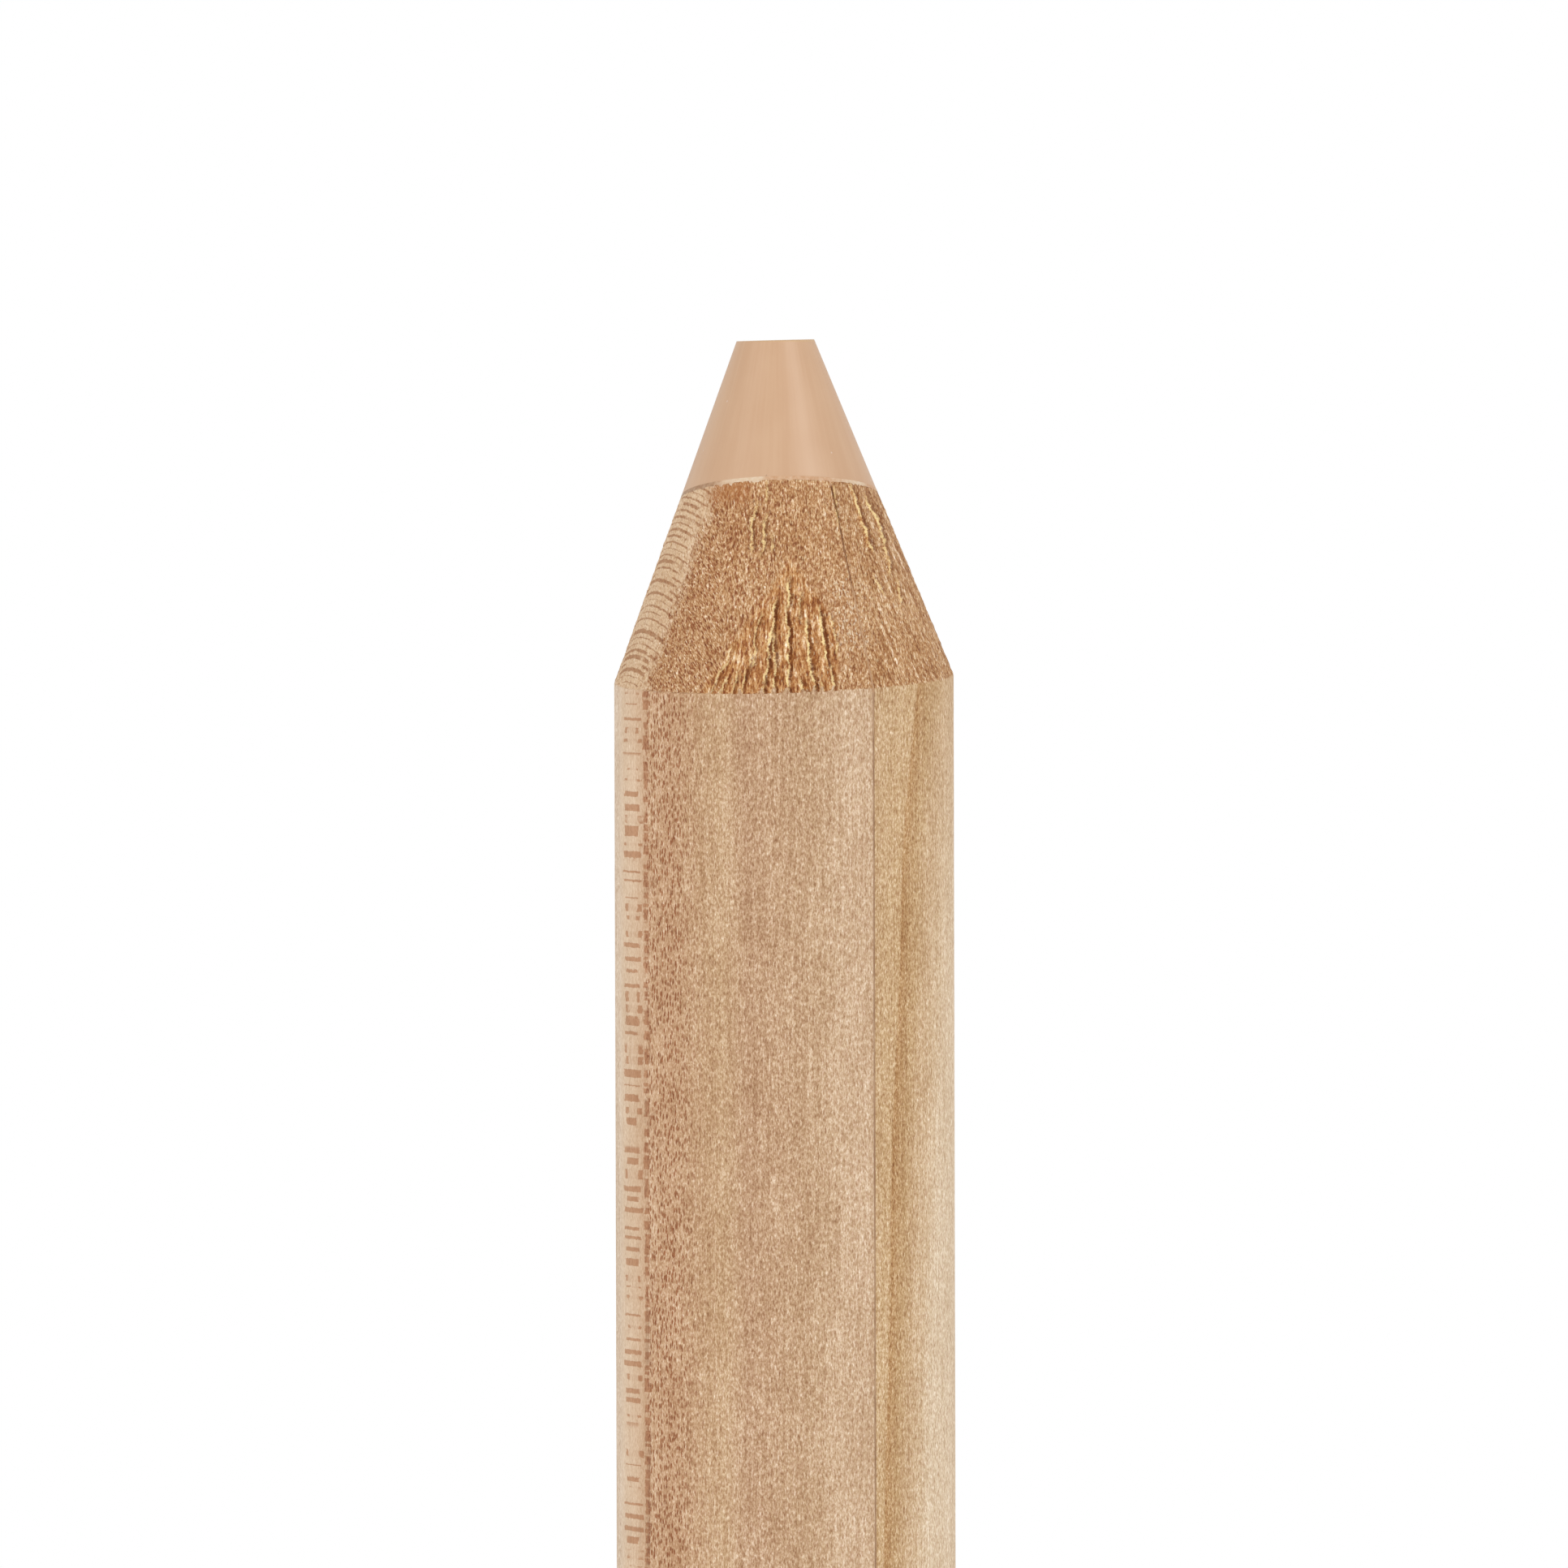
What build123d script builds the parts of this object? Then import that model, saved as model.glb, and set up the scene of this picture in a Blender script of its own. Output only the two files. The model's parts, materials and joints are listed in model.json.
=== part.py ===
from build123d import *

import os
from math import cos, radians, sin, tan

# A thick, round, wood-cased pencil, sharpened once.
#
# Two grooved wooden slats are glued face to face round a thick crayon core, and the sandwich is
# turned to a round barrel. The glue shows as a thin line down the barrel on two opposite sides,
# and as a thin sleeve between the core and the wood. The rear end is cut square and left open,
# with its rim broken by a small chamfer. The front end is sharpened to a cone that cuts through
# wood, glue and core alike, and the crayon's tip is cut flat, square to the sharpener's axis.
#
# The parts are real ones, so nothing is quite on centre. The grooves are a little off the
# barrel's axis, and the sharpener's axis leans over and stands a little behind it. That is what
# bows the two edges of the sharpened wood.
#
# Frame: millimetres. The barrel's axis is Z, the rear end lies on Z = 0 and the tip points up.
# -Y is the front.

# ---- driving sizes ----
overall_length = 125.0
barrel_diameter = 11.8
rear_chamfer = 0.25

core_diameter = 6.78
sleeve_wall = 0.05  # glue between the core and its grooves
film_thickness = 0.06  # glue between the two slats
groove_shift_x = -0.15  # where the core's axis stands off the barrel's
groove_shift_y = 0.37
seam_azimuth = 31.0  # degrees from the front, towards +X

point_half_angle = 21.1  # degrees
tip_flat_diameter = 2.7
point_lean = 1.3  # degrees, towards -X
point_lean_depth = 11.7  # below the tip, where the leaning axis crosses the barrel's in front view
point_shift_y = 0.13

# ---- sizes that follow ----
barrel_radius = barrel_diameter / 2
core_radius = core_diameter / 2
bore_radius = core_radius + sleeve_wall
tip_flat_radius = tip_flat_diameter / 2
seam = radians(seam_azimuth)
lean = radians(point_lean)

# Stock stands past the tip, and the cone cuts it off.
stock_length = overall_length + barrel_diameter
# The cone goes on past the rear end, so that it takes nothing off the barrel below the point.
cone_length = overall_length + barrel_diameter
cone_base_radius = tip_flat_radius + cone_length * tan(radians(point_half_angle))

# The slats' joint: X runs along it, out to the front glue line, and +Y is the right-hand slat.
groove_axis = (groove_shift_x, groove_shift_y, 0)
joint = Plane(origin=groove_axis, x_dir=(sin(seam), -cos(seam), 0), z_dir=(0, 0, 1))


def slat_face(distance):
    """The plane of a slat's glued face, at a distance from the middle of the joint."""
    middle = Vector(*groove_axis) + joint.y_dir * distance
    return Plane(origin=middle, x_dir=joint.x_dir, z_dir=joint.y_dir)


# ---- the sharpener's cone, on its leaning axis, with the flat that cuts the tip off ----
cone_axis = Vector(-sin(lean), 0, cos(lean))
cone_pivot = Vector(0, point_shift_y, overall_length - point_lean_depth)
cone_base = cone_pivot + cone_axis * (point_lean_depth - cone_length)

with BuildPart() as sharpener_cone:
    with BuildSketch(Plane(origin=cone_base, z_dir=cone_axis)):
        Circle(cone_base_radius)
    extrude(amount=cone_length, taper=point_half_angle)

# ---- the outline that turning and sharpening leave ----
with BuildPart() as outline:
    with BuildSketch(Plane.XY):
        Circle(barrel_radius)
    extrude(amount=stock_length)
    chamfer(outline.edges().group_by(Axis.Z)[0], length=rear_chamfer)
    add(sharpener_cone.part, mode=Mode.INTERSECT)

# ---- core: the crayon, extruded full length and cut flush at both ends ----
with BuildPart() as core:
    with BuildSketch(joint):
        Circle(core_radius)
    extrude(amount=stock_length)
    add(outline.part, mode=Mode.INTERSECT)
core.part.label = "core"

# ---- core_glue_sleeve: the glue squeezed out between the core and both grooves ----
with BuildPart() as core_glue_sleeve:
    with BuildSketch(joint):
        Circle(bore_radius)
        Circle(core_radius, mode=Mode.SUBTRACT)
    extrude(amount=stock_length)
    add(outline.part, mode=Mode.INTERSECT)
core_glue_sleeve.part.label = "core_glue_sleeve"


# ---- the two casing halves: slats with a half-round groove each ----
def casing_half(label, side):
    """One slat, on the -1 or +1 side of the joint, turned and sharpened with its groove cut."""
    with BuildPart() as half:
        add(outline.part)
        with BuildSketch(joint):
            Circle(bore_radius)
        extrude(amount=stock_length, mode=Mode.SUBTRACT)
        keep = Keep.TOP if side > 0 else Keep.BOTTOM
        split(bisect_by=slat_face(side * film_thickness / 2), keep=keep)
    half.part.label = label
    return half.part


# ---- the two glue films: one each side of the core, from the bore out to the surface ----
def glue_film(label, side):
    """One film, on the +1 or front side, or the -1 or rear side, of the core."""
    with BuildPart() as film:
        with BuildSketch(joint):
            with Locations((side * barrel_diameter / 2, 0)):
                Rectangle(barrel_diameter, film_thickness)
            Circle(bore_radius, mode=Mode.SUBTRACT)
        extrude(amount=stock_length)
        add(outline.part, mode=Mode.INTERSECT)
    film.part.label = label
    return film.part


pieces = [
    core.part,
    core_glue_sleeve.part,
    casing_half("casing_half_left", -1),
    casing_half("casing_half_right", +1),
    glue_film("glue_film_front", +1),
    glue_film("glue_film_rear", -1),
]

os.makedirs("parts", exist_ok=True)
for piece in pieces:
    export_step(piece, f"parts/{piece.label}.step")
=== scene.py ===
import json
from math import cos, pi, radians, sin, tan

import bpy
import numpy as np
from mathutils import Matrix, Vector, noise


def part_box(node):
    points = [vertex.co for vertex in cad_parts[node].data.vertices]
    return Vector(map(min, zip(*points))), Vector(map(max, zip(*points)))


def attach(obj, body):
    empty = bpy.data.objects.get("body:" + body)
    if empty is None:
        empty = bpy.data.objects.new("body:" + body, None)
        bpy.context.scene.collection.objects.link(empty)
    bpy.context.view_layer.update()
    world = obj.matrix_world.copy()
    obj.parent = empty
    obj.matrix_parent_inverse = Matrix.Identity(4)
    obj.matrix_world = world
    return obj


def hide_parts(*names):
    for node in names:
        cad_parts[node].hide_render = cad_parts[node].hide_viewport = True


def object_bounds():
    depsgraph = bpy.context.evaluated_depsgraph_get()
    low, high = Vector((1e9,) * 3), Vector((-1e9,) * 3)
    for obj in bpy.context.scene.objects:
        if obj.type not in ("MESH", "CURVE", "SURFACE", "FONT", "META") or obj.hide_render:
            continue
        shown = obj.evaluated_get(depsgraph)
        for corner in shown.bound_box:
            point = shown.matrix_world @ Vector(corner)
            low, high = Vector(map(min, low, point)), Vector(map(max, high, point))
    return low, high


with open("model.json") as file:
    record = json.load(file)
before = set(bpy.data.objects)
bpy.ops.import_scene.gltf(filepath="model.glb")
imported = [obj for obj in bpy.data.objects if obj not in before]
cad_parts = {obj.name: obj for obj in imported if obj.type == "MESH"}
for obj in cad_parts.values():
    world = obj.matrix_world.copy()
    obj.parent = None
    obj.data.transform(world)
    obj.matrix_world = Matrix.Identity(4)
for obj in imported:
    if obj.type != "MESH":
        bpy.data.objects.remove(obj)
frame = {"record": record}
cad_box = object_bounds()

# ---- the crayon core ----
# A thick stick of beige wax crayon, extruded to size and laid in the grooves of two wooden slats.
# The sharpener's blade has turned its end to a smooth satin cone with faint streaks down it, and
# the tip is cut flat. At the rear it ends flush with the wood.
mm = 0.001
top = cad_box[1].z / mm
core_low, core_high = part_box("core")
core_radius = (core_high.x - core_low.x) / 2 / mm
groove_x = (core_low.x + core_high.x) / 2 / mm
groove_y = (core_low.y + core_high.y) / 2 / mm

tip_flat_radius = 1.35
point_half_angle = radians(21.1)
point_lean = radians(1.3)  # towards -X
point_lean_depth = 11.7  # below the tip, where the leaning axis crosses the barrel's
point_shift_y = 0.13
cone_axis = np.array([-sin(point_lean), 0, cos(point_lean)])
tip_x = -sin(point_lean) * point_lean_depth
tip_centre = np.array([tip_x, point_shift_y, top - tip_flat_radius * sin(point_lean)])
apex_height = tip_flat_radius / tan(point_half_angle)
apex = tip_centre + cone_axis * apex_height


def circle(columns, radius, x=0, y=0):
    """Points round a circle in plan, the first at the front and the next ones towards +X."""
    turn = np.arange(columns) * 2 * pi / columns
    return np.stack([x + radius * np.sin(turn), y - radius * np.cos(turn)], axis=1)


def on_cone(plan):
    """The points of the sharpener's cone that stand over points of the plan."""
    from_apex = np.column_stack([plan, np.zeros(len(plan))]) - apex
    along = from_apex @ cone_axis
    square = cos(point_half_angle) ** 2
    a = cone_axis[2] ** 2 - square
    b = 2 * (along * cone_axis[2] - square * from_apex[:, 2])
    c = along**2 - square * np.sum(from_apex**2, axis=1)
    root = np.sqrt(b * b - 4 * a * c)
    height = np.minimum((-b + root) / (2 * a), (-b - root) / (2 * a))
    return np.column_stack([plan, height])


def at_height(plan, height):
    """Points of the plan, all at one height."""
    return np.column_stack([plan, np.full(len(plan), height)])


def skin(name, rings):
    """A closed mesh through rings of points in millimetres, from the rear's middle out, up and in."""
    columns = len(rings[0])
    points = np.vstack([*rings, rings[0].mean(axis=0), rings[-1].mean(axis=0)])
    here = np.arange(columns)
    following = np.roll(here, -1)
    faces = []
    for row in range(len(rings) - 1):
        low = row * columns
        high = low + columns
        faces += np.stack([low + here, low + following, high + following, high + here], 1).tolist()
    last = (len(rings) - 1) * columns
    rear, front = len(points) - 2, len(points) - 1
    faces += [(rear, b, a) for a, b in zip(here.tolist(), following.tolist())]
    faces += [(last + a, last + b, front) for a, b in zip(here.tolist(), following.tolist())]
    mesh = bpy.data.meshes.new(name)
    mesh.from_pydata((points * mm).tolist(), [], faces)
    mesh.polygons.foreach_set("use_smooth", [True] * len(mesh.polygons))
    piece = bpy.data.objects.new(name, mesh)
    bpy.context.scene.collection.objects.link(piece)
    return piece


def is_vector(value):
    return isinstance(value, tuple) or isinstance(value, Socket) and value.plug.type in ("VECTOR", "RGBA")


class Socket:
    """One output of a node, so that maths on outputs can be written as an expression."""

    def __init__(self, board, plug):
        self.board = board
        self.plug = plug

    def output(self, name):
        """Another output of the same node."""
        return Socket(self.board, self.plug.node.outputs[name])

    def work(self, operation, first, second=0.0):
        """A Math node on numbers, or a Vector Math node as soon as one side is a vector."""
        if is_vector(first) or is_vector(second):
            first, second = [(v, v, v) if isinstance(v, (int, float)) else v for v in (first, second)]
            return self.board.node("ShaderNodeVectorMath", {"operation": operation}, {0: first, 1: second})
        return self.board.node("ShaderNodeMath", {"operation": operation}, {0: first, 1: second})

    def __add__(self, other):
        return self.work("ADD", self, other)

    def __radd__(self, other):
        return self.work("ADD", other, self)

    def __sub__(self, other):
        return self.work("SUBTRACT", self, other)

    def __rsub__(self, other):
        return self.work("SUBTRACT", other, self)

    def __mul__(self, other):
        return self.work("MULTIPLY", self, other)

    def __rmul__(self, other):
        return self.work("MULTIPLY", other, self)

    def __truediv__(self, other):
        return self.work("DIVIDE", self, other)

    def __rtruediv__(self, other):
        return self.work("DIVIDE", other, self)

    def __pow__(self, other):
        return self.work("POWER", self, other)

    def __neg__(self):
        return self.work("MULTIPLY", self, -1.0)

    def __abs__(self):
        return self.work("ABSOLUTE", self)

    def least(self, other):
        return self.work("MINIMUM", self, other)

    def most(self, other):
        return self.work("MAXIMUM", self, other)

    def __lt__(self, other):
        return self.work("LESS_THAN", self, other)

    def __gt__(self, other):
        return self.work("GREATER_THAN", self, other)

    def rise(self, low, high):
        """0 below low, 1 above high, and a smooth step between them, or a fall if low is the larger."""
        ends = {"From Min": min(low, high), "From Max": max(low, high)}
        ends |= {"To Min": float(low > high), "To Max": float(low < high)}
        smooth = {"interpolation_type": "SMOOTHSTEP"}
        return self.board.node("ShaderNodeMapRange", smooth, {"Value": self} | ends)


class Board:
    """A node tree. Each node gets its settings first, and then the values or links of its sockets."""

    def __init__(self, tree):
        self.tree = tree
        tree.nodes.clear()

    def node(self, kind, settings=None, sockets=None, output=0):
        made = self.tree.nodes.new(kind)
        for name, value in (settings or {}).items():
            if name == "stops":
                elements = made.color_ramp.elements
                while len(elements) < len(value):
                    elements.new(1.0)
                for element, (place, colour) in zip(elements, value):
                    element.position = place
                    element.color = colour
            else:
                setattr(made, name, value)
        for name, value in (sockets or {}).items():
            if isinstance(value, Socket):
                self.tree.links.new(value.plug, made.inputs[name])
            else:
                made.inputs[name].default_value = value
        return Socket(self, made.outputs[output]) if made.outputs else made

    def vector(self, x, y, z):
        return self.node("ShaderNodeCombineXYZ", {}, {0: x, 1: y, 2: z})

    def parts(self, vector):
        split = self.node("ShaderNodeSeparateXYZ", {}, {0: vector})
        return split, split.output("Y"), split.output("Z")

    def noise(self, point, detail=2.0, roughness=0.5):
        """Smooth noise from about -0.5 to 0.5, with features about one unit of the point's space apart."""
        sockets = {"Vector": point, "Scale": 1.0, "Detail": detail, "Roughness": roughness}
        return self.node("ShaderNodeTexNoise", {}, sockets) - 0.5

    def cells(self, point):
        """Scattered cells, about one to a unit of the point's space: how far the nearest centre is, and
        a chance number of its cell."""
        near = self.node("ShaderNodeTexVoronoi", {}, {"Vector": point, "Scale": 1.0})
        return near, self.parts(near.output("Color"))[0]

    def mix(self, share, first, second):
        """Two colours, mixed by a share from 0 to 1."""
        return self.node("ShaderNodeMix", {"data_type": "RGBA"}, {0: share, 6: first, 7: second}, 2)


def colour(red, green, blue):
    """A colour given as on a screen, 0 to 255, in the linear numbers that shaders use."""
    parts = [c / 255 for c in (red, green, blue)]
    return (*[c / 12.92 if c <= 0.04045 else ((c + 0.055) / 1.055) ** 2.4 for c in parts], 1.0)


def finish_surface(board, base, roughness, height, specular=0.5):
    """Ends a material's tree with a rough dielectric surface, bumped by a height in millimetres."""
    bump = board.node("ShaderNodeBump", {}, {"Strength": 1.0, "Distance": mm, "Height": height})
    sockets = {"Base Color": base, "Roughness": roughness, "Normal": bump, "Specular IOR Level": specular}
    surface = board.node("ShaderNodeBsdfPrincipled", {}, sockets)
    board.node("ShaderNodeOutputMaterial", {}, {"Surface": surface})


def new_material(name):
    """A material with an empty node tree, and the board that its nodes are put on."""
    made = bpy.data.materials.new(name)
    made.use_nodes = True
    return made, Board(made.node_tree)


core_columns = 320
core_rows = 96
core_rear_rings = 12
core_skirt = 1.0  # a ring this far under the cone's edge keeps the long wall's shading straight
tip_rings = (0.98, 0.9, 0.75, 0.5, 0.25)  # as shares of the flat's radius
core_edge = on_cone(circle(core_columns, core_radius, groove_x, groove_y))
tip_share = apex_height / ((apex - core_edge) @ cone_axis)
tip_edge = apex + (core_edge - apex) * tip_share[:, None]
rings = []
for ring in range(1, core_rear_rings + 1):
    inside = circle(core_columns, core_radius * ring / core_rear_rings, groove_x, groove_y)
    rings.append(at_height(inside, 0.0))
rings.append(np.column_stack([core_edge[:, :2], core_edge[:, 2] - core_skirt]))
for row in range(core_rows + 1):
    rings.append(core_edge + (tip_edge - core_edge) * row / core_rows)
for share in tip_rings:
    rings.append(tip_centre + (tip_edge - tip_centre) * share)
core = skin("crayon_core", rings)

crayon, board = new_material("crayon wax")
place = board.node("ShaderNodeTexCoord", {}, {}, "Object") * (1 / mm)
x, y, z = board.parts(place)
from_axis = place - (groove_x, groove_y, 0.0)
outwards = board.node("ShaderNodeVectorMath", {"operation": "NORMALIZE"}, {0: from_axis * (1.0, 1.0, 0.0)})
round_x, round_y, _ = board.parts(outwards)
streaks = board.noise(board.vector(round_x * 4.0, round_y * 4.0, z * 0.10), 3.0)
hairlines = board.noise(board.vector(round_x * 30.0, round_y * 30.0, z * 0.35), 2.0)
sawn = z < 0.02  # the rear face, which a saw has cut
saw_marks = board.noise(board.vector(x * 0.7, y * 7.0, 0.0), 3.0)
streaks = streaks * (1.0 - sawn) + saw_marks * (sawn * 0.6)
hairlines = hairlines * (1.0 - sawn) + saw_marks * sawn
blotches = board.noise(place * 0.8, 1.0)
share = (streaks * 1.5 + hairlines * 0.5 + blotches * 0.5 + 0.5).rise(0.0, 1.0)
wax = board.mix(share, colour(203, 162, 127), colour(210, 172, 138))
near, chance = board.cells(place * (2.2, 2.2, 1.8))
specks = near.rise(0.09, 0.04) * (chance > 0.6)
base = board.mix(specks * 0.6, wax, colour(228, 206, 190))
tip_height = float(tip_centre[2])
blunt = z.rise(tip_height - 0.06, tip_height - 0.02)
base = board.mix(blunt * 0.3, base, colour(212, 178, 120))
height = streaks * 0.012 + hairlines * 0.0025 - specks * 0.004
finish_surface(board, base, 0.42 + hairlines * 0.1, height)
core.data.materials.append(crayon)
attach(core, "root")
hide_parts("core")

# ---- the glue round the core ----
# White wood glue, spread in both grooves before the core was laid in and squeezed to a thin skin
# between wax and wood. Sharpening has cut it too, and it shows as a pale uneven rim.
sleeve_low, sleeve_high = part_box("core_glue_sleeve")
bore_radius = (sleeve_high.x - sleeve_low.x) / 2 / mm
sleeve_columns = 480
rim_rings = 7
rim_lap = 0.02  # how far the rim reaches over the wood and the wax
bead_height = 0.02
rim = []
for radius in np.linspace(bore_radius + rim_lap, core_radius - rim_lap, rim_rings):
    ring = on_cone(circle(sleeve_columns, radius, groove_x, groove_y))
    crown = 1 - ((radius - core_radius) / (bore_radius - core_radius) * 2 - 1) ** 2
    for point in ring:
        bead = noise.noise((point[0] * 1.1, point[1] * 1.1, 3.0)) + 0.5 * noise.noise(tuple(point * 4.0))
        point[2] += bead_height * crown * (0.6 + bead)
    rim.append(ring)
rear_rings = []
for radius in (core_radius, bore_radius):
    rear_rings.append(at_height(circle(sleeve_columns, radius, groove_x, groove_y), 0.0))


def tube(name, rings):
    """A closed tube through rings that follow each other round its wall."""
    columns = len(rings[0])
    mesh = bpy.data.meshes.new(name)
    faces = []
    for row in range(len(rings)):
        low = row * columns
        high = (row + 1) % len(rings) * columns
        for column in range(columns):
            following = (column + 1) % columns
            faces.append((low + column, low + following, high + following, high + column))
    mesh.from_pydata((np.vstack(rings) * mm).tolist(), [], faces)
    mesh.polygons.foreach_set("use_smooth", [True] * len(mesh.polygons))
    piece = bpy.data.objects.new(name, mesh)
    bpy.context.scene.collection.objects.link(piece)
    return piece


sleeve = tube("glue_round_core", rear_rings + rim)
glue, board = new_material("dried glue")
place = board.node("ShaderNodeTexCoord", {}, {}, "Object") * (1 / mm)
patches = board.noise(place * (0.9, 0.9, 0.4), 3.0)
grain = board.noise(place * 9.0, 2.0)
x, _, _ = board.parts(place)
base = board.mix((patches * 2.5 + 0.45).rise(0.1, 0.9), colour(204, 160, 122), colour(222, 196, 166))
base = board.mix((x + patches * 3.0).rise(-1.9, -2.9) * 0.7, base, colour(158, 120, 88))
base = base ** (1.0 + grain * 0.8)
finish_surface(board, base, 0.55 + grain * 0.2, grain * 0.01)
sleeve.data.materials.append(glue)
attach(sleeve, "root")
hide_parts("core_glue_sleeve")

# ---- the wooden casing ----
# Two slats of pale, fine-grained wood, each with a half-round groove, glued face to face round the
# core. The sandwich was turned to a round barrel and sanded, left raw, and sharpened once, which
# tore the fibres of the cone and left the barrel smooth.
barrel_radius = frame["record"]["mounts"][0]["dims"]["r_mm"]
rear_chamfer = 0.25
film_thickness = 0.06
seam_azimuth = 31.0  # degrees from the front, towards +X

blank_columns = 760
cone_rows = 160
barrel_rows = 76
barrel_growth = 1.056  # each row of faces down the barrel is this much taller than the one above
blank_core = 2.95  # inside the bore, where the blank's end faces are cut away
blank_rear_rings = 9

plan = circle(blank_columns, barrel_radius)
edge = on_cone(plan)
rings = []
for radius in np.linspace(blank_core, barrel_radius - rear_chamfer, blank_rear_rings):
    rings.append(at_height(circle(blank_columns, radius), 0.0))
steps = barrel_growth ** np.arange(barrel_rows)
falls = np.cumsum(steps) / np.sum(steps)
for fall in reversed(falls):
    rings.append(np.column_stack([plan, edge[:, 2] + (rear_chamfer - edge[:, 2]) * fall]))
for row in range(cone_rows + 1):
    share = (1 - blank_core / barrel_radius) * row / cone_rows
    rings.append(edge + (apex - edge) * share)
blank = skin("turned_blank", rings)

shoulder = float(edge[:, 2].mean())
seam = radians(seam_azimuth)
point_zone = 50.0  # the cone's finish is looked for above this height only
cone_slope = 0.386  # how far the cone comes in for each unit up


def slat_space(board, place, ray_azimuth):
    """A slat's own directions: out along its rays, across them, and up its fibres."""
    x, y, z = board.parts(place)
    ray_x = board.node("ShaderNodeMath", {"operation": "SINE"}, {0: ray_azimuth})
    ray_y = -board.node("ShaderNodeMath", {"operation": "COSINE"}, {0: ray_azimuth})
    return x * ray_x + y * ray_y, y * ray_x - x * ray_y, z


def lying_rays(board, out, up, pitch, widest, tallest, hollow_share):
    """Rays that lie in the surface: one bar to each row up the fibres, some with only its ends left."""
    row = up / pitch
    which = board.node("ShaderNodeMath", {"operation": "FLOOR"}, {0: row})
    drawn = board.node("ShaderNodeTexWhiteNoise", {"noise_dimensions": "1D"}, {"W": which})
    width, tall, hollow = board.parts(drawn.output("Color"))
    aside = abs(out + (hollow - 0.5) * 0.2)
    over = abs(row - which - 0.5) * pitch
    width = (width * 0.4 + 0.6) * widest
    bar = (width - aside).rise(0.0, 0.06) * ((tall * 0.8 + 0.2) * tallest - over).rise(0.0, 0.03)
    return bar * (1.0 - (width * 0.6 - aside).rise(0.0, 0.06) * (hollow < hollow_share) * 0.85)


def rays_in(board, out, across, up, cut):
    """The wood's rays, thin ribbons that run out from the pith: end on they are fine upright dashes, and
    where they lie in the surface they are bars across the fibres, bowed on the cone."""
    near, chance = board.cells(board.vector(out / 2.0, across / 0.10, up / 0.40))
    dashes = near.rise(0.34, 0.22) * (chance > 0.45)
    uneven = board.noise(board.vector(out * 4.0, across, up * 2.5), 2.0) * 0.2
    ragged = board.noise(board.vector(out * 14.0, across, up * 12.0), 1.0) * 0.14
    astray = out + cut * (ragged * 7.0 + uneven * 6.0)
    side_on = ((astray + 1.25 + cut * 1.1) * (1.0 - cut * 0.5)).rise(-0.2, 0.2)
    side_on = side_on * ((astray - 1.0) * (1.0 - cut * 0.5)).rise(0.2, -0.2)
    tilted = up + uneven * 0.4 + ragged * 0.3 + board.noise(board.vector(0.0, 0.0, up * 1.3), 2.0) * 0.9
    barrel_bars = lying_rays(board, out - 0.02 + uneven * 2.5 + ragged, tilted, 0.44, 0.78, 0.17, 0.45)
    barrel_bars = barrel_bars * board.noise(board.vector(0.0, 3.0, up * 0.9), 1.0).rise(-0.14, -0.08)
    edge_line = (0.17 - abs(out - 1.0 + uneven * 1.5 + ragged)).rise(0.0, 0.05)
    edge_line = edge_line * board.noise(board.vector(5.0, 0.0, up * 2.2), 2.0).rise(-0.04, 0.0)
    bow = out + 0.6
    bowed = up + bow * bow * 0.13 + uneven * 0.4 + ragged * 0.4
    cone_bars = lying_rays(board, bow + uneven * 2.0 + ragged * 3.0, bowed, 0.22, 1.75, 0.09, 0.1)
    cone_bars = cone_bars * board.noise(board.vector(out * 1.5, across, up * 4.0), 2.0).rise(-0.2, -0.05)
    barrel_bars = barrel_bars.most(edge_line) * side_on.most(edge_line)
    return dashes, barrel_bars * (1.0 - cut) + cone_bars * cut, side_on


patch_left = -2.75  # the patch's foot on the shoulder, and how its sides lean in above it
patch_right = 1.95
patch_left_lean = 0.68
patch_right_lean = 0.75
patch_right_bend = 2.0  # above the shoulder, where the right side starts to lean


def torn_patch(board, x, y, z):
    """1 where the blade has torn a flame-shaped patch out of the front of the cone."""
    above = z - shoulder
    ragged = board.noise(board.vector(x * 2.4, z * 0.9, 0.0), 3.0) * 0.8
    left = (x - patch_left - above * patch_left_lean) * 0.8
    right = patch_right - x - (above - patch_right_bend).most(0.0) * patch_right_lean
    inside = left.least(right) + ragged * 0.5
    return inside.rise(-0.05, 0.2) * (y < 0.0)


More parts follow.
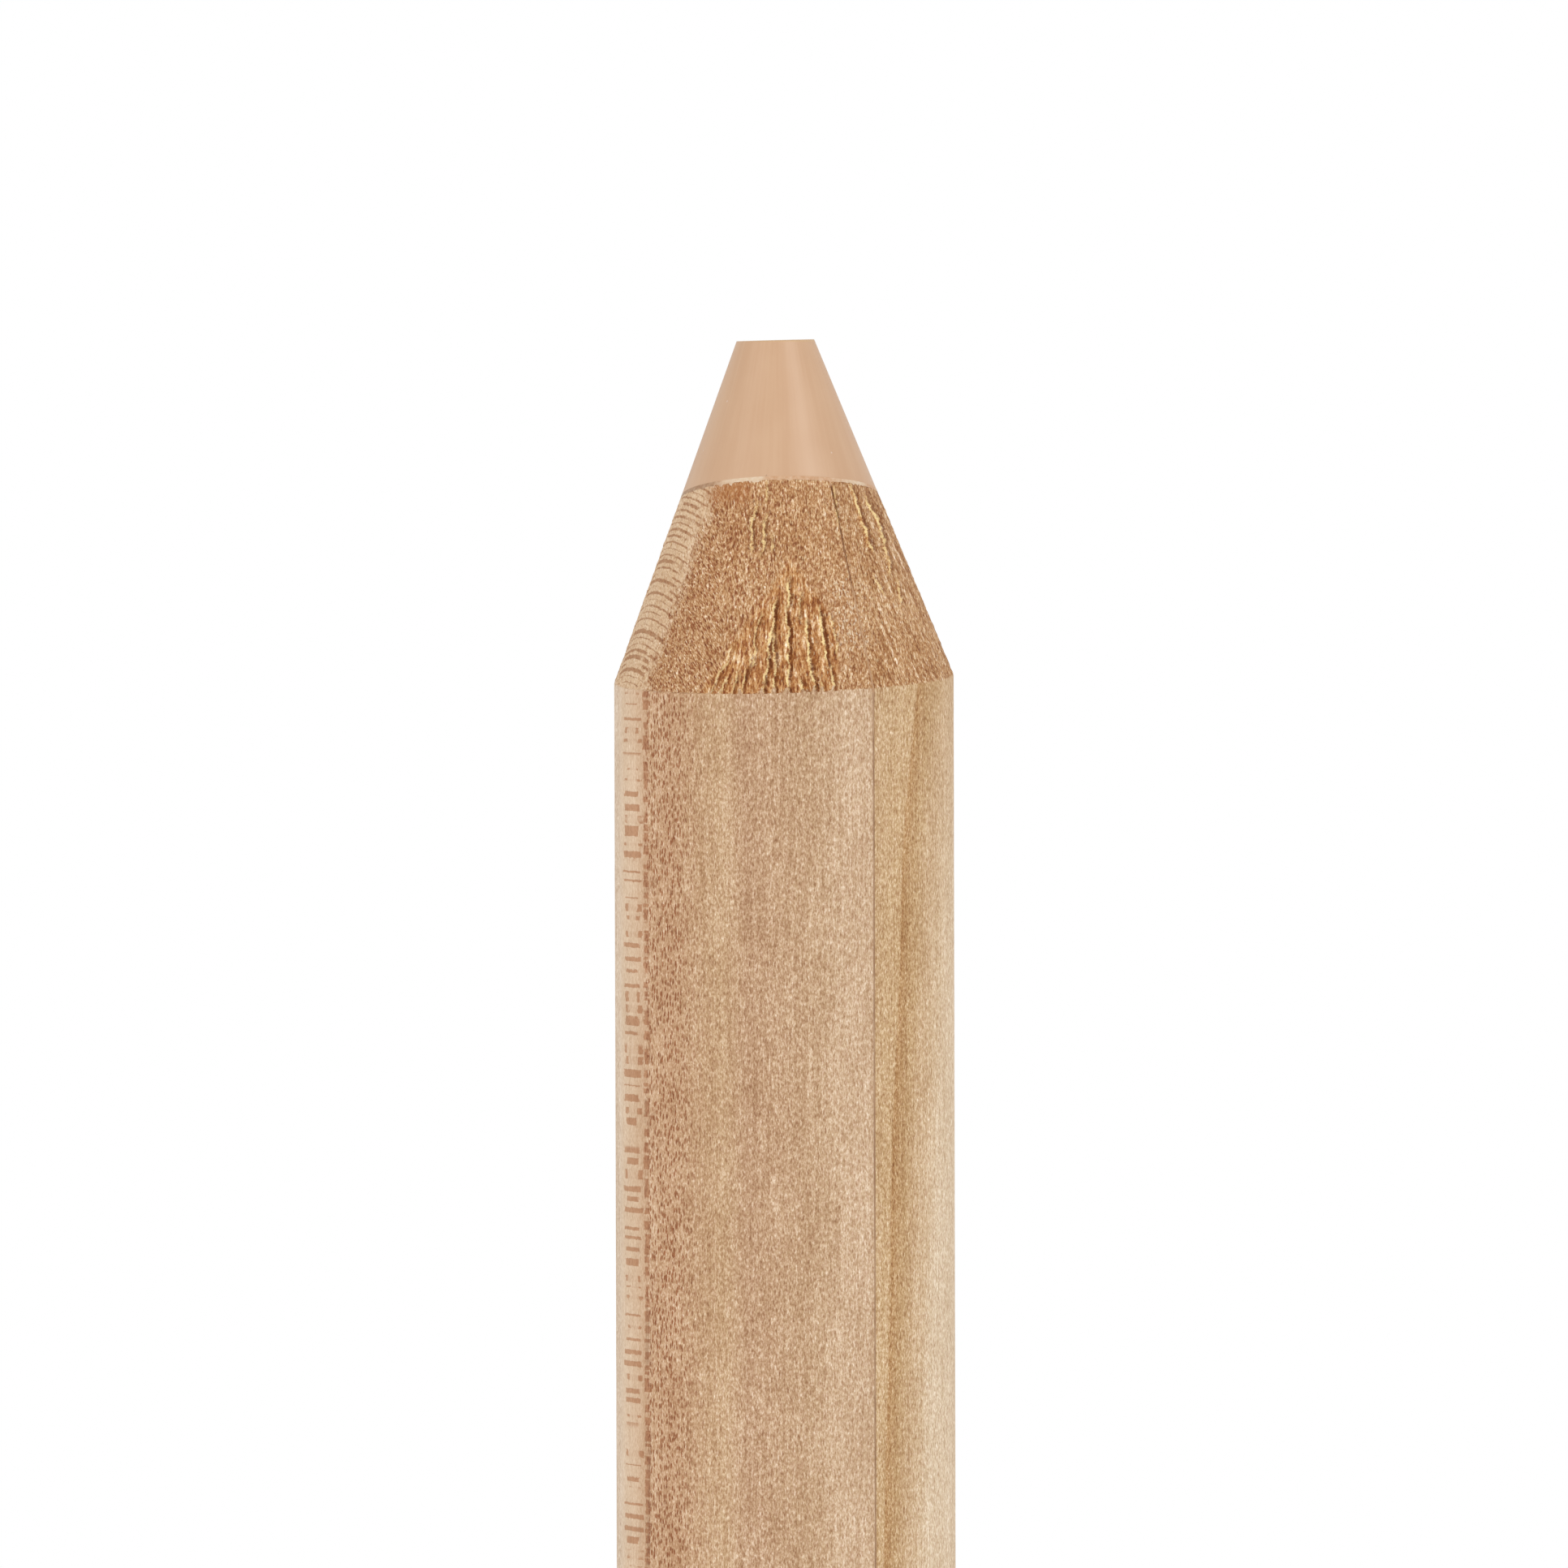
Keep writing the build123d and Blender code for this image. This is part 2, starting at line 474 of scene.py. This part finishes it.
# Each raised fibre of the cone: where its edge starts and ends, across and above the shoulder, how wide
# the fibre is, and how far it stands up, from 0 to 1.
fibres = [
    (-2.62, -0.5, -1.62, 1.5, 0.22, 0.6),
    (-2.22, -0.5, -1.86, 0.5, 0.26, 0.7),
    (-1.78, -0.5, -1.50, 0.7, 0.24, 0.7),
    (-1.43, -0.5, -1.10, 1.3, 0.30, 0.8),
    (-1.10, 0.5, -0.74, 2.6, 0.26, 0.7),
    (-0.70, -0.4, -0.24, 3.1, 0.42, 1.0),
    (-0.26, -0.5, -0.34, 1.9, 0.26, 0.9),
    (0.26, -0.5, 0.10, 2.8, 0.46, 1.0),
    (0.19, 2.6, 0.30, 3.8, 0.24, 1.0),
    (0.56, 2.2, 0.66, 3.4, 0.20, 0.7),
    (0.84, -0.4, 0.56, 0.4, 0.20, 0.9),
    (1.11, -0.5, 0.78, 2.4, 0.36, 1.0),
    (1.38, -0.5, 1.24, 0.3, 0.20, 0.8),
    (1.52, 0.5, 1.25, 2.8, 0.34, 1.0),
    (1.70, -0.5, 1.64, 0.9, 0.22, 0.8),
    (1.90, 1.0, 1.58, 2.7, 0.18, 0.6),
    (-0.62, 6.2, -0.54, 7.2, 0.10, 0.6),
    (-1.10, 4.5, -0.94, 6.4, 0.10, 0.8),
    (-0.76, 4.4, -0.50, 6.0, 0.10, 0.8),
    (-0.42, 4.5, -0.36, 5.3, 0.10, 0.6),
    (3.14, 4.5, 2.32, 7.0, 0.16, 0.9),
    (3.56, 4.8, 2.86, 6.6, 0.16, 0.9),
    (3.76, 3.7, 3.20, 5.9, 0.12, 0.8),
    (1.92, 5.4, 1.74, 7.0, 0.08, 0.6),
    (3.50, 3.0, 3.10, 3.9, 0.10, 0.6),
    (4.06, 2.6, 3.92, 3.7, 0.10, 0.6),
]


def raised_fibres(board, x, y, z):
    """How far the fibres stand up, their lips, which get a painted highlight over their pale edge, and the
    gaps beside the lips, which get painted shade, as one vector.
    """
    above = z - shoulder
    wander = board.noise(board.vector(x * 0.9, z * 1.1, 3.0), 2.0) * 0.42
    wander = wander + board.noise(board.vector(x * 3.5, z * 6.5, 8.0), 3.0, 0.75) * 0.24
    bent = x + wander
    told = None
    for foot_x, foot, head_x, head, width, stand in fibres:
        lean = (head_x - foot_x) / (head - foot)
        lit_lip = 0.03 + 0.04 * stand
        stops = [
            (0.5 - width, (0.0, 0.0, 0.0, 1.0)),
            (0.5 - lit_lip - 0.02, (0.85, 0.0, 0.0, 1.0)),
            (0.5 - lit_lip, (0.95, 1.0, 0.0, 1.0)),
            (0.5 - 0.005, (1.0, 1.0, 0.0, 1.0)),
            (0.5 + 0.010, (0.0, 0.0, stand, 1.0)),
            (0.5 + 0.010 + lit_lip * 1.3, (0.0, 0.0, stand, 1.0)),
            (0.5 + 0.050 + lit_lip * 1.3, (0.0, 0.0, 0.0, 1.0)),
        ]
        edge = bent - above * lean + (0.5 - foot_x + foot * lean)
        section = board.node("ShaderNodeValToRGB", {"stops": stops}, {0: edge})
        length = above.rise(foot - 0.1, foot + 0.2) * above.rise(head, head - 0.5) * stand
        fibre = section * board.vector(length, length, length)
        told = fibre if told is None else told.most(fibre)
    front = y < 0.0
    return told * board.vector(front, front, front)


cutter = 400.0  # longer than the pencil, for the solids that cut the blank
casing = bpy.data.node_groups.new("slat cut from the blank", "GeometryNodeTree")
casing.interface.new_socket("Geometry", in_out="INPUT", socket_type="NodeSocketGeometry")
casing.interface.new_socket("Geometry", in_out="OUTPUT", socket_type="NodeSocketGeometry")
for name in ("Barrel radius", "Bore radius", "Groove X", "Groove Y", "Seam", "Side", "Film", "Ray azimuth"):
    casing.interface.new_socket(name, in_out="INPUT", socket_type="NodeSocketFloat")
casing.interface.new_socket("Wood", in_out="INPUT", socket_type="NodeSocketMaterial")
board = Board(casing)
given = board.node("NodeGroupInput")
solid = board.node("GeometryNodeTransform", {}, {"Geometry": given, "Scale": (1 / mm, 1 / mm, 1 / mm)})
place = board.node("GeometryNodeInputPosition")
x, y, z = board.parts(place)
out, across, up = slat_space(board, place, given.output("Ray azimuth"))
depth = given.output("Barrel radius") - (x * x + y * y) ** 0.5
cut = depth.rise(0.0, 0.05) * (z > point_zone)
grains = board.noise(place * (8.0, 8.0, 3.0), 2.0)
ripples = board.noise(place * (2.5, 2.5, 0.5), 3.0)
dashes, bars, _ = rays_in(board, out, across, up, cut)
torn = torn_patch(board, x, y, z)
stand, _, shaded_gap = board.parts(raised_fibres(board, x, y, z))
splinters = board.noise(board.vector((x + (z - shoulder) * x * 0.1) * 5.0, z * 0.9, 0.0), 3.0)
relief = grains * (0.010 + cut * 0.08) + ripples * (0.008 + cut * 0.04)
relief = relief + cut * (stand * 0.10 - shaded_gap * 0.04 + torn * (splinters * 0.20 - 0.03))
from_core = ((x - groove_x) * (x - groove_x) + (y - groove_y) * (y - groove_y)) ** 0.5 - bore_radius
relief = relief * (from_core.rise(0.0, 0.3) * 0.8 + 0.2)
relief = relief - bars * 0.006 - dashes * (0.002 + cut * 0.012)
joint = (x - given.output("Groove X")) * cos(seam) + (y - given.output("Groove Y")) * sin(seam)
relief = relief - abs(joint).rise(0.09, 0.02) * 0.006
normal = board.node("GeometryNodeInputNormal")
rough = board.node("GeometryNodeSetPosition", {}, {"Geometry": solid, "Offset": normal * relief})
sockets = {"Vertices": 256, "Radius": given.output("Bore radius"), "Depth": cutter}
bore = board.node("GeometryNodeMeshCylinder", {}, sockets)
bore_place = board.vector(given.output("Groove X"), given.output("Groove Y"), 0.0)
bore = board.node("GeometryNodeTransform", {}, {"Geometry": bore, "Translation": bore_place})
other_side = board.node("GeometryNodeMeshCube", {}, {"Size": (cutter, cutter, cutter)})
shift = board.vector(given.output("Side") * (given.output("Film") / 2 - cutter / 2), 0.0, 0.0)
other_side = board.node("GeometryNodeTransform", {}, {"Geometry": other_side, "Translation": shift})
turn = board.vector(0.0, 0.0, given.output("Seam"))
sockets = {"Geometry": other_side, "Rotation": turn, "Translation": bore_place}
other_side = board.node("GeometryNodeTransform", {}, sockets)
less = {"operation": "DIFFERENCE", "solver": "MANIFOLD"}
halved = board.node("GeometryNodeMeshBoolean", less, {0: rough, 1: other_side})
halved = board.node("GeometryNodeMeshBoolean", less, {0: halved, 1: bore})
small = board.node("GeometryNodeTransform", {}, {"Geometry": halved, "Scale": (mm, mm, mm)})
plain = board.node("GeometryNodeRealizeInstances", {}, {"Geometry": small})
dressed = board.node("GeometryNodeSetMaterial", {}, {"Geometry": plain, "Material": given.output("Wood")})
board.node("NodeGroupOutput", {}, {0: dressed})


band_height = 105.8  # where the bands stand at the distances given for them
band_reach = 7.0  # how far they are given for, each way from the barrel's middle


def ground_tone(board, place, out, cut, side_on, band_slope, bands_and_sheen):
    """The wood's growth bands and a painted sheen near the silhouettes, browner where the cone cuts them,
    and pale where the rays lie in it.
    """
    x, y, z = board.parts(place)
    wander = board.noise(board.vector(x * 0.35, y * 0.35, z * 0.05), 2.0) * 0.5
    rise = z - band_height
    bend = (rise + rise.most(0.0) * rise.most(0.0) * 0.14) * band_slope
    ring = (out + wander * (1.0 - side_on) - bend + band_reach) / (2 * band_reach)
    stops = [((distance + band_reach) / (2 * band_reach), tone) for distance, tone in bands_and_sheen]
    tone = board.node("ShaderNodeValToRGB", {"stops": stops}, {0: ring})
    tone = board.mix(cut * (1.0 - side_on) * 0.7, tone, colour(207, 171, 132))
    tone = tone * (1.0 - (0.07, 0.24, 0.42) * (cut * (1.0 - side_on)))
    return board.mix(cut * side_on * 0.9, tone, colour(236, 201, 161))


def cone_marks(board, place, tone, cut, lit_lip, shaded_gap):
    """What only the cone has: a rubbed stretch of its rim, wood dust, painted shade in the gaps beside the
    raised fibres, and a painted highlight on their pale lips.
    """
    x, y, z = board.parts(place)
    above = z - shoulder
    from_core = ((x - groove_x) * (x - groove_x) + (y - groove_y) * (y - groove_y)) ** 0.5 - bore_radius
    rubbed = from_core.rise(0.4, 0.1) * x.rise(-2.9, -2.2) * x.rise(-0.9, -1.5) * cut
    tone = board.mix(rubbed * 0.55, tone, colour(178, 112, 56))
    dust = board.noise(place * (12.0, 12.0, 7.0), 2.0).rise(0.06, 0.16)
    dusty = board.noise(place * 1.6, 2.0) + above.rise(0.6, 1.4) * above.rise(4.4, 3.0) * 0.9
    dusty = (dusty - abs(x - 2.3) * 0.8).rise(0.1, 0.4) * cut * (y < 0.0)
    tone = board.mix(dust * dusty * 0.65, tone, colour(242, 222, 192))
    broken = board.noise(board.vector(x * 3.0, y * 3.0, z * 4.5), 2.0, 0.7)
    # painted shade: the gaps beside the lips darkened to a deep brown
    tone = board.mix(shaded_gap * broken.rise(-0.2, 0.08) * 0.9, tone, colour(116, 58, 22))
    # the lips' pale edges, brightened to cream as a painted highlight where they catch the light
    return board.mix(lit_lip * broken.rise(0.2, -0.08), tone, colour(255, 226, 164))


def wood(name, ray_azimuth, band_slope, bands_and_sheen):
    """Raw wood whose rays run out from the pith in one direction and whose growth bands cross them, with a
    painted sheen near the silhouettes.
    """
    made, board = new_material(name)
    place = board.node("ShaderNodeTexCoord", {}, {}, "Object") * (1 / mm)
    x, y, z = board.parts(place)
    above = z - shoulder
    out, across, up = slat_space(board, place, ray_azimuth)
    cut = (barrel_radius - (x * x + y * y) ** 0.5).rise(0.004, 0.03) * (z > point_zone)
    dashes, bars, side_on = rays_in(board, out, across, up, cut)
    torn = torn_patch(board, x, y, z) * cut
    stand, lit_lip, shaded_gap = board.parts(raised_fibres(board, x, y, z) * board.vector(cut, cut, cut))
    tone = ground_tone(board, place, out, cut, side_on, band_slope, bands_and_sheen)

    # Darker wood holds more of the same stain, so the grain works as a power of the wood's colour.
    slant = ((x < -2.1) + (x > 3.0) * 0.5) * cut * 0.5
    along = x + above * slant
    inward = y - above * cut * cone_slope
    fine = board.noise(board.vector(along * 21.0, inward * 21.0, z * 8.5), 2.0, 0.6)
    coarse = board.noise(place * (8.0, 8.0, 3.5), 2.0)
    lines = board.noise(board.vector(x * 9.0, y * 9.0, z * 0.3), 2.0)
    streaks = board.noise(board.vector(x * 1.1, y * 1.1, z * 0.08), 2.0)
    patches = board.noise(place * (0.8, 0.8, 0.35), 3.0)
    sliced = board.noise(board.vector((x + above * 0.39) * 7.0, y * 3.0, above * 0.5), 2.0)
    sliced = sliced * x.rise(2.3, 3.3) * cut
    splinters = board.noise(board.vector((x + above * x * 0.1) * 8.0, z * 1.6, 0.0), 3.0)
    quiet = 1.0 - side_on * 0.55
    speckle = fine * (1.9 + cut * 1.0) * (1.0 - torn * 0.3) + coarse * (0.5 + cut * 0.4) + lines * 0.5
    speckle = speckle * quiet + streaks * 0.2 + patches * 0.25 + sliced * 1.6 + splinters * torn * 3.0
    tone = board.mix((torn * 0.55).most(stand * 0.8), tone, colour(206, 141, 74))
    tone = tone ** (1.0 - speckle).most(0.25) * (1.0 + speckle * 0.45) * (1.0 - cut * 0.07)

    # Pores are dark and glints are light. Both are cut across, so they are short upright specks.
    near, chance = board.cells(board.vector(along * 11.0, inward * 11.0, z * 4.2))
    pores = near.rise(0.50, 0.34) * (chance > 0.25)
    reddish = out.rise(0.7, 1.1) * out.rise(3.6, 2.2) * (1.0 - cut)
    pores = pores * (reddish * 0.85 + cut * x.rise(2.0, -2.0) * 0.6 + cut * 0.2 + 0.42) * quiet
    near, chance = board.cells(board.vector(along * 15.0, inward * 15.0, z * 5.5))
    glints = near.rise(0.42, 0.26) * (chance > 0.6) * (0.25 + cut * x.rise(-3.0, 1.0) * 0.4) * quiet
    tone = tone * (1.0 - (0.34, 0.52, 0.62) * pores)
    tone = board.mix(glints * 0.6, tone, colour(250, 224, 176))
    tone = tone * (1.0 - (0.12, 0.17, 0.20) * (dashes * (1.0 - side_on)))
    tone = tone * (1.0 - (0.28, 0.47, 0.58) * (bars * (1.0 - cut)) - (0.37, 0.53, 0.63) * (bars * cut))
    tone = cone_marks(board, place, tone, cut, lit_lip, shaded_gap)
    height = fine * (0.014 + cut * 0.03) + coarse * 0.02 + lines * 0.004 + glints * 0.004
    height = height - (pores + bars) * 0.005 + torn * splinters * 0.05
    finish_surface(board, tone, 0.7 + fine * 0.2 + shaded_gap * 0.3, height, 0.4)
    return made


# Each band's distance out along the rays, and its colour. The lighter stops near each slat's silhouette are
# a painted sheen, not bands.
left_bands_and_sheen = [
    (-7.0, colour(210, 180, 146)),
    (-3.2, colour(206, 172, 136)),
    # these three lighter stops lie along the left silhouette: a painted sheen of the white studio
    (-1.8, colour(222, 198, 172)),
    (-1.2, colour(226, 202, 176)),
    (-0.6, colour(226, 198, 168)),
    (0.3, colour(222, 190, 158)),
    (0.8, colour(214, 178, 144)),
    (1.3, colour(209, 169, 132)),
    (2.2, colour(203, 161, 124)),
    (3.4, colour(201, 163, 125)),
    (4.0, colour(207, 172, 134)),
    (4.6, colour(197, 159, 125)),
    (5.2, colour(197, 160, 125)),
    (5.7, colour(203, 169, 134)),
    (5.9, colour(211, 179, 146)),
]
right_bands_and_sheen = [
    (-7.0, colour(199, 167, 132)),
    (-3.8, colour(207, 177, 142)),
    (-3.4, colour(187, 145, 104)),
    (-1.0, colour(203, 173, 138)),
    (1.5, colour(195, 159, 120)),
    (4.2, colour(208, 174, 133)),
    (4.86, colour(207, 172, 128)),
    (4.92, colour(185, 141, 92)),
    (5.25, colour(201, 165, 120)),
    # these three lighter stops lie along the right silhouette: a painted sheen of the white studio
    (5.5, colour(211, 178, 139)),
    (5.8, colour(219, 190, 154)),
    (6.1, colour(227, 203, 172)),
]
for slat_name, side, ray_azimuth, band_slope, bands_and_sheen in (
    ("left", -1.0, 26.0, 0.0, left_bands_and_sheen),
    ("right", 1.0, 78.0, 0.027, right_bands_and_sheen),
):
    worker = bpy.data.objects.new("worker", blank.data)
    bpy.context.scene.collection.objects.link(worker)
    modifier = worker.modifiers.new("cut", "NODES")
    modifier.node_group = casing
    given_values = {
        "Barrel radius": barrel_radius,
        "Bore radius": bore_radius,
        "Groove X": groove_x,
        "Groove Y": groove_y,
        "Seam": seam,
        "Side": side,
        "Film": film_thickness,
        "Ray azimuth": radians(ray_azimuth),
        "Wood": wood(slat_name + " slat wood", radians(ray_azimuth), band_slope, bands_and_sheen),
    }
    for name, value in given_values.items():
        modifier[casing.interface.items_tree[name].identifier] = value
    seen = worker.evaluated_get(bpy.context.evaluated_depsgraph_get())
    slat = bpy.data.objects.new(slat_name + "_slat", bpy.data.meshes.new_from_object(seen))
    bpy.context.scene.collection.objects.link(slat)
    bpy.data.objects.remove(worker)
    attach(slat, "root")
    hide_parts("casing_half_" + slat_name)
    slat_name + "_slat_wood"
bpy.data.objects.remove(blank)

# ---- the glue between the slats ----
# The same glue, pressed to a film in the joint as the slats were clamped together. It shows as a
# thin dark line down both sides of the pencil, and torn splinters hide part of it on the cone.
splinters_low = shoulder - 0.4
splinters_high = shoulder + 3.2
joint_line, board = new_material("glue line")
place = board.node("ShaderNodeTexCoord", {}, {}, "Object") * (1 / mm)
stain = board.noise(place * (1.5, 1.5, 1.1), 3.0)
_, _, z = board.parts(place)
height = z + stain * 0.8
hidden = height.rise(splinters_high + 0.3, splinters_high - 0.1)
hidden = hidden * height.rise(splinters_low, splinters_low + 0.2)
base = board.mix((stain * 2.5 + 0.4).rise(0.0, 1.0), colour(160, 120, 88), colour(196, 160, 126))
base = board.mix(z.rise(splinters_high - 0.1, splinters_high + 0.2), base, colour(148, 100, 62))
base = board.mix(hidden * 0.8, base, colour(190, 146, 106))
finish_surface(board, base, 0.6 + stain * 0.2, stain * 0.02)
film_step = 0.8
film_cone_step = 0.12
film_sink = 0.01  # how far the line lies under the wood
film_cone_sink = 0.015  # more, on the upper cone
film_cover = 0.02  # less, where the splinters stand round it
film_waver = 0.01
film_crown = 0.008  # how far the middle of the line stands out from its sides


def glue_film(name, side):
    """One film, out from the bore to the surface, on the front or rear side of the core."""
    direction = np.array([sin(seam), -cos(seam)]) * side
    sideways = np.array([cos(seam), sin(seam)]) * side
    groove = np.array([groove_x, groove_y])
    along = groove @ direction
    reach = -along + (along**2 + barrel_radius**2 - groove @ groove) ** 0.5
    on_barrel = on_cone((groove + direction * reach)[None])[0, 2]
    heights = list(np.arange(rear_chamfer, on_barrel, film_step)) + [on_barrel]
    line = [(reach - rear_chamfer, 0.0)] + [(reach, height) for height in heights]
    for out in np.arange(reach - film_cone_step, bore_radius + film_cone_step, -film_cone_step):
        line.append((out, on_cone((groove + direction * out)[None])[0, 2]))
    rings = []
    for out, height in line:
        covered = splinters_low < height < splinters_high
        out -= film_sink + film_cone_sink * (height > splinters_high) - film_cover * covered
        out += film_waver * noise.noise((out * 2.0, side, height * 1.5))
        section = []
        # Round the film's section: a share of the way out from the bore, and a side of the joint.
        for share, offset in ((0.0, -1), (1.0, -1), (1.0, 0), (1.0, 1), (0.0, 1)):
            distance = bore_radius + (out - bore_radius + film_crown * (offset == 0)) * share
            plan = groove + direction * distance + sideways * film_thickness / 2 * offset
            section.append((*plan, height))
        rings.append(np.array(section))
    return skin(name, rings)


for place_name, side in (("front", 1), ("rear", -1)):
    film = glue_film("glue_film_" + place_name + "_line", side)
    film.data.materials.append(joint_line)
    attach(film, "root")
    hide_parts("glue_film_" + place_name)

# ---- floor, light and camera ----
# A matt white floor in a white studio, with a large soft light high on the right and a weaker one
# on the left. The lens is long and looks at the point from a little above it.
floor_mesh = bpy.data.meshes.new("floor")
half = 0.7
low = -0.05 * mm  # just under the rear end, so that the two don't share a plane
corners = [(-half, -half, low), (half, -half, low), (half, half, low), (-half, half, low)]
floor_mesh.from_pydata(corners, [], [(0, 1, 2, 3)])
floor = bpy.data.objects.new("floor", floor_mesh)
bpy.context.scene.collection.objects.link(floor)
floor_paint, board = new_material("floor paint")
place = board.node("ShaderNodeTexCoord", {}, {}, "Object")
mottle = board.noise(place * 40.0, 3.0)
paint = board.mix(mottle + 0.5, colour(232, 232, 230), colour(238, 238, 236))
finish_surface(board, paint, 0.8, mottle * 0.02)
floor_mesh.materials.append(floor_paint)

scene = bpy.context.scene
scene.view_settings.view_transform = "Standard"
ambient = 0.78
world = bpy.data.worlds.new("studio")
world.use_nodes = True
scene.world = world
board = Board(world.node_tree)
seen = board.node("ShaderNodeLightPath", {}, {}, "Is Camera Ray")
strength = ambient + seen * (1.0 - ambient)
white = board.node("ShaderNodeBackground", {}, {"Color": (1.0, 1.0, 1.0, 1.0), "Strength": strength})
board.node("ShaderNodeOutputWorld", {}, {"Surface": white})

# Both lights stand a metre from a point this high on the pencil's axis, and face it.
light_aim = 0.1
for name, turn, rise, size, energy in (("key", 46, 40, 0.45, 2.3), ("fill", -50, 20, 0.5, 1.6)):
    lamp = bpy.data.lights.new(name, "AREA")
    lamp.shape = "DISK"
    lamp.size = size
    lamp.energy = energy
    light = bpy.data.objects.new(name, lamp)
    turn, rise = radians(turn), radians(rise)
    light.location = (sin(turn) * cos(rise), -cos(turn) * cos(rise), sin(rise) + light_aim)
    light.rotation_euler = (pi / 2 - rise, 0, turn)
    scene.collection.objects.link(light)

view_width = 54.54 * mm
camera_distance = 0.6
camera_rise = radians(1.9)
camera_roll = radians(0.15)
aim = (0.046 * mm, 0.0, 109.57 * mm)  # the middle of the view
camera_data = bpy.data.cameras.new("camera")
camera_data.sensor_width = 36.0
camera_data.lens = camera_data.sensor_width * camera_distance / view_width
camera_data.clip_start = 0.01
camera_data.clip_end = 10.0
camera = bpy.data.objects.new("camera", camera_data)
camera.location = (
    aim[0],
    aim[1] - camera_distance * cos(camera_rise),
    aim[2] + camera_distance * sin(camera_rise),
)
camera.rotation_euler = (pi / 2 - camera_rise, camera_roll, 0)
scene.collection.objects.link(camera)
scene.camera = camera
